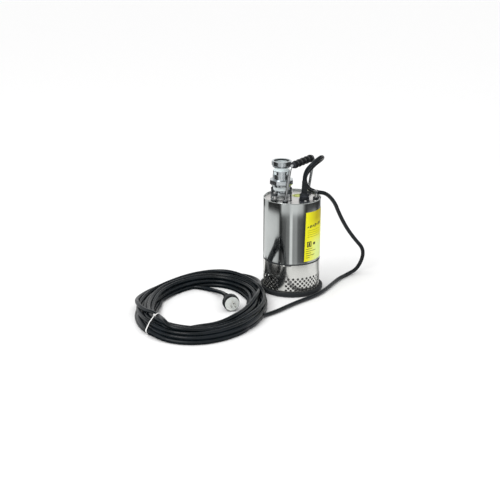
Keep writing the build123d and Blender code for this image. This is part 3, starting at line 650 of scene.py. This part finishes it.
# ---------------------------------------------------------------- grip, boot, plug
GRIP_AT = Vector((-6.1, -76.9, 427)) * MM
GRIP_TOWARD = Vector((67.9, 51.1, 427)) * MM - GRIP_AT
GRIP_FROM, GRIP_TO = 14.5, 133.5
GRIP_BORE, GRIP_END_R, GROOVE_R, RIDGE_RISE = 4.5, 8.5, 9.3, 3.0
RIDGES = 5
RIDGE_POINTS = 12  # outline points per ridge
grip_outline = [(GRIP_BORE, GRIP_FROM), (GRIP_END_R, GRIP_FROM), (9.8, GRIP_FROM + 1.2)]
ridge = (GRIP_TO - GRIP_FROM - 4) / RIDGES
for i in range(RIDGES * RIDGE_POINTS + 1):
    wave = 0.5 - 0.5 * cos(2 * pi * i / RIDGE_POINTS)
    along = GRIP_FROM + 2 + ridge * i / RIDGE_POINTS
    grip_outline.append((GROOVE_R + RIDGE_RISE * wave**0.7, along))
grip_outline += [(9.8, GRIP_TO - 1.2), (GRIP_END_R, GRIP_TO), (GRIP_BORE, GRIP_TO)]
grip_mesh = bmesh.new()
turned(grip_mesh, [Vector(p) * MM for p in grip_outline], facing(GRIP_AT, GRIP_TOWARD), 64)
finished("grip_sleeve", grip_mesh, grip_rubber, "black_rubber", "handle_grip", sharp=60)

BOOT_LOW, BOOT_HIGH = 334, 374
BOOT_R, BOOT_TAPER = 9.6, 2.0
GROOVES, GROOVE_STEP = 5, 6.6
boot_outline = [(0, BOOT_LOW), (9.4, BOOT_LOW), (BOOT_R, BOOT_LOW + 1)]
for i in range(GROOVES):
    low = BOOT_LOW + 4.5 + GROOVE_STEP * i
    neck = BOOT_R - BOOT_TAPER * (low - BOOT_LOW) / (BOOT_HIGH - BOOT_LOW)
    for step, depth in enumerate((0, 0.75, 1.0, 1.0, 0.75, 0)):
        boot_outline.append((neck - depth, low + 0.42 * step))
boot_outline += [(7.7, BOOT_HIGH - 1), (7.2, BOOT_HIGH), (0, BOOT_HIGH)]
boot_at = Matrix.Translation((0.038, -0.047, 0))
boot_mesh = bmesh.new()
turned(boot_mesh, [Vector(p) * MM for p in boot_outline], boot_at, 64)
finished("boot_sleeve", boot_mesh, rubber, "black_rubber", "cable_boot", sharp=50)

PLUG_AT = Vector((-0.181, -0.226, 0.0255))
PLUG_TURN = radians(18.4)  # from -Y towards +X
PLUG_OUT = Vector((sin(PLUG_TURN), -cos(PLUG_TURN), 0))
RIBS = 28
plug_frame = facing(PLUG_AT, PLUG_OUT)
plug_mesh = bmesh.new()
plug_outline = [
    (0, -3),
    (22.6, -3),
    (22.6, -0.6),
    (23.3, -0.6),
    (25.4, -8.0),
    (25.4, -24),
    (22, -33),
    (18, -38),
    (14, -46),
    (11, -50),
]
for i in range(4):
    back = -54 - 5 * i
    crest = 10.4 - 0.4 * i
    plug_outline += [(crest, back), (crest - 1.4, back - 0.8)]
    plug_outline += [(crest - 1.4, back - 2.4), (crest - 0.2, back - 3.2)]
plug_outline += [(8.5, -76), (0, -76)]
turned(plug_mesh, rounded(plug_outline, 1.2, 4), plug_frame, 96)
rib = [(-0.6, -1.1), (0.1, -1.1), (0.75, -0.5), (0.75, 0.5), (0.1, 1.1), (-0.6, 1.1)]
rib = [(x * MM, y * MM) for x, y in rib]
for i in range(RIBS):
    around = Matrix.Rotation(2 * pi * i / RIBS, 4, "Z") @ Matrix.Translation((25.0 * MM, 0, 0))
    slab(plug_mesh, rib, -24 * MM, -9 * MM, plug_frame @ around)
plug_shell = finished("plug_shell", plug_mesh, plug_rubber, "cable_rubber", "plug_body")


# --------------------------------------------------------------------- the coil tie
# The strap slants across the bundle: its angle on the oval where it is furthest out and in.
TIE_OUT, TIE_IN = (213.0, 33.0), (221.5, -27.0)
TIE_HALF = 2.1 * MM  # half its width
OVAL_MEAN = 0.2  # the oval's mean radius, which turns the strap's width into an angle
TIE_THICK = 1.2 * MM
TIE_GAP = 0.5 * MM
TIE_UNDER = 0.4 * MM  # its inner side is lifted by this, which is its thickness on the floor


def strap_angle(out):
    """The angle on the oval, in degrees, at which the strap is a distance outside the line."""
    return np.interp(out / MM, (TIE_IN[1], TIE_OUT[1]), (TIE_IN[0], TIE_OUT[0]))


def strands_under_strap():
    """Where the strands cross the strap's slanting plane: distance outside the line, and height."""
    flat = settled[:, :2] - COIL
    a = np.degrees(np.arctan2(flat @ ACROSS / COIL_SHORT, flat @ ALONG / COIL_LONG)) % 360
    base = on_oval(np.radians(a))
    out = ((settled[:, :2] - base) * (on_oval(np.radians(a), 1.0) - base)).sum(1)
    past = (a - strap_angle(out) + 180) % 360 - 180
    found = []
    for i in range(len(a) - 1):
        if past[i] < 0 <= past[i + 1] and past[i + 1] - past[i] < 30:
            share = past[i] / (past[i] - past[i + 1])
            found.append((out[i] + share * (out[i + 1] - out[i]),
                          settled[i, 2] + share * (settled[i + 1, 2] - settled[i, 2])))
    return found


def around_strands(strands, radius, count=96):
    """The taut loop around round strands, as (out, height) points."""
    points = []
    for step in range(count):
        a = 2 * pi * step / count
        out, up = max(strands, key=lambda s: s[0] * cos(a) + s[1] * sin(a))
        points.append((out + radius * cos(a), max(up + radius * sin(a), 0.0)))
    return points


strands = strands_under_strap()
tie_mesh = bmesh.new()
inside = around_strands(strands, CABLE_R + TIE_GAP)
outside = around_strands(strands, CABLE_R + TIE_GAP + TIE_THICK)
rings = []
for (out_in, up_in), (out_on, up_on) in zip(inside, outside):
    under = up_in + TIE_UNDER
    corners = ((out_in, under, -1), (out_on, up_on, -1), (out_on, up_on, 1), (out_in, under, 1))
    section = []
    for out, up, side in corners:
        a = radians(strap_angle(out)) + side * TIE_HALF / OVAL_MEAN
        x, y = on_oval(a, out)[0]
        section.append(tie_mesh.verts.new((x, y, up)))
    rings.append(section)
for i, here in enumerate(rings):
    beside = rings[(i + 1) % len(rings)]
    for k in range(4):
        m = (k + 1) % 4
        tie_mesh.faces.new([here[k], beside[k], beside[m], here[m]])
# The lock sits where the strap stands highest; a place further out counts as a little higher.
top = max(range(len(outside)), key=lambda i: outside[i][1] + 0.2 * outside[i][0])
lock_out, lock_up = outside[top]
lock_x, lock_y = on_oval(radians(strap_angle(lock_out)), lock_out)[0]
lock_at = facing((lock_x, lock_y, lock_up), (0.35, 0.1, 1))
lock = [(x * MM, y * MM) for x, y in ((-3, -3.4), (3, -3.4), (3, 3.4), (-3, 3.4))]
slab(tie_mesh, lock, -1 * MM, 3.4 * MM, lock_at)
zip_tie = finished("zip_tie", tie_mesh, tie_nylon, "tie_white", "coil_tie", sharp=30)

# ---------------------------------------------------------------------------- stage
floor_data = bpy.data.meshes.new("floor")
SPREAD = 30.0
floor_data.from_pydata(
    [(-SPREAD, -SPREAD, 0), (SPREAD, -SPREAD, 0), (SPREAD, SPREAD, 0), (-SPREAD, SPREAD, 0)],
    [],
    [(0, 1, 2, 3)],
)
floor = bpy.data.objects.new("floor", floor_data)
floor.location.z = -0.0004  # just under the plug's ribs, the lowest thing on it
scene.collection.objects.link(floor)
floor_white, floor_tree, floor_bsdf = new_material("floor_white")
floor_bsdf.inputs["Base Color"].default_value = (0.985, 0.985, 0.985, 1)
floor_bsdf.inputs["Roughness"].default_value = 0.9
floor_bsdf.inputs["Specular IOR Level"].default_value = 0.1
floor_data.materials.append(floor_white)

# What the steel mirrors: dark and pale cards on the studio floor around the pump, which only
# reflections see. Angle from the front towards +X in degrees, and brightness, at three distances.
NEAR_CARDS = (
    (-180, 0.9), (-160, 0.9), (-150, 0.2), (-140, 0.9), (-124, 0.9), (-118, 0.02), (-44, 0.015),
    (-36, 0.4), (-22, 0.70), (4, 0.76), (20, 0.74), (60, 0.74), (100, 0.80), (120, 0.3),
    (140, 0.8), (180, 0.9),
)
MIDDLE_CARDS = (
    (-180, 0.5), (-165, 0.5), (-160, 0.06), (-146, 0.08), (-140, 0.8), (-118, 0.8), (-62, 0.72),
    (-52, 0.55), (-46, 0.03), (-38, 0.04), (-34, 0.10), (-24, 0.12), (-20, 0.20), (-9, 0.24),
    (-6, 0.9), (1, 0.95), (4, 0.36), (17, 0.40), (24, 0.16), (34, 0.12), (48, 0.06), (58, 0.05),
    (66, 0.45), (100, 0.6), (112, 0.1), (126, 0.12), (134, 0.6), (180, 0.5),
)
FAR_CARDS = (
    (-180, 0.6), (-165, 0.05), (-140, 0.05), (-132, 0.6), (-110, 0.6), (-104, 0.02), (-50, 0.02),
    (-44, 0.12), (-38, 0.75), (-12, 0.6), (0, 0.9), (20, 0.85), (40, 0.6), (50, 0.12), (58, 0.045),
    (140, 0.045), (150, 0.6), (180, 0.6),
)

# Distances in metres at which the middle and the far ring take over.
MIDDLE_FROM = (0.37, 0.40)
FAR_FROM = (0.98, 1.02)


def card_ring(tree, share, cards):
    """A brightness blended between cards of (angle from -180 to 180, level); share is 0 to 1."""
    ring = add(tree, "ValToRGB", {0: share})
    stops = ring.color_ramp.elements
    while len(stops) < len(cards):
        stops.new(0.5)
    for stop, (angle, _) in zip(stops, cards):
        stop.position = (angle + 180) / 360
    for stop, (_, level) in zip(stops, cards):
        stop.color = (level, level, level, 1)
    return ring.outputs[0]


place = add(floor_tree, "SeparateXYZ", {0: coordinates(floor_tree)})
toward = add(floor_tree, "Math", {0: place.outputs[1], 1: -1.0}, operation="MULTIPLY")
angle = add(floor_tree, "Math", {0: place.outputs[0], 1: toward.outputs[0]}, operation="ARCTAN2")
share = ramp(floor_tree, angle.outputs[0], 0.0, 1.0, -pi, pi)
flat = add(floor_tree, "CombineXYZ", {0: place.outputs[0], 1: place.outputs[1]})
far = add(floor_tree, "VectorMath", {0: flat.outputs[0]}, operation="LENGTH").outputs["Value"]
near_ring = card_ring(floor_tree, share, NEAR_CARDS)
middle_ring = card_ring(floor_tree, share, MIDDLE_CARDS)
far_ring = card_ring(floor_tree, share, FAR_CARDS)
past_near = ramp(floor_tree, far, 0.0, 1.0, *MIDDLE_FROM)
past_middle = ramp(floor_tree, far, 0.0, 1.0, *FAR_FROM)
inner_cards = blend_colours(floor_tree, past_near, near_ring, middle_ring)
cards = blend_colours(floor_tree, past_middle, inner_cards, far_ring)
glow = add(floor_tree, "Emission", {"Color": cards, "Strength": 1.0})
seen_by = add(floor_tree, "LightPath")
shaders = {0: seen_by.outputs["Is Glossy Ray"], 1: floor_bsdf.outputs[0], 2: glow.outputs[0]}
both = add(floor_tree, "MixShader", shaders)
floor_tree.links.new(both.outputs[0], floor_tree.nodes["Material Output"].inputs[0])

world = bpy.data.worlds.new("studio")
scene.world = world
world.use_nodes = True
world_tree = world.node_tree
backdrop = world_tree.nodes["Background"]
backdrop.inputs[0].default_value = (1, 1, 1, 1)
# Reflections see a darker studio: a white sweep at the horizon, dark walls and an overhead box.
# The height of the direction from -180 straight down to 180 straight up, and brightness.
WALLS = (
    (-180, 0.5), (0, 0.95), (76, 0.9), (92, 0.16), (120, 0.08), (138, 0.12), (148, 0.65),
    (180, 0.8),
)
direction = add(world_tree, "TexCoord").outputs["Generated"]
height = add(world_tree, "SeparateXYZ", {0: direction}).outputs[2]
walls = card_ring(world_tree, ramp(world_tree, height, 0.0, 1.0, -1.0, 1.0), WALLS)
studio = add(world_tree, "Background", {0: walls, 1: 1.0})
seen = add(world_tree, "LightPath")
shaders = {0: seen.outputs["Is Glossy Ray"], 1: backdrop.outputs[0], 2: studio.outputs[0]}
mixed = add(world_tree, "MixShader", shaders)
world_tree.links.new(mixed.outputs[0], world_tree.nodes["World Output"].inputs[0])


def softbox(name, place, aim, size, power):
    """A rectangular area light."""
    data = bpy.data.lights.new(name, "AREA")
    data.shape = "RECTANGLE"
    data.size, data.size_y = size
    data.energy = power
    light = bpy.data.objects.new(name, data)
    light.location = place
    light.rotation_euler = (Vector(aim) - Vector(place)).to_track_quat("-Z", "Y").to_euler()
    scene.collection.objects.link(light)


softbox("key", (-1.6, -1.8, 2.4), (0, 0, 0.15), (1.6, 1.2), 30)
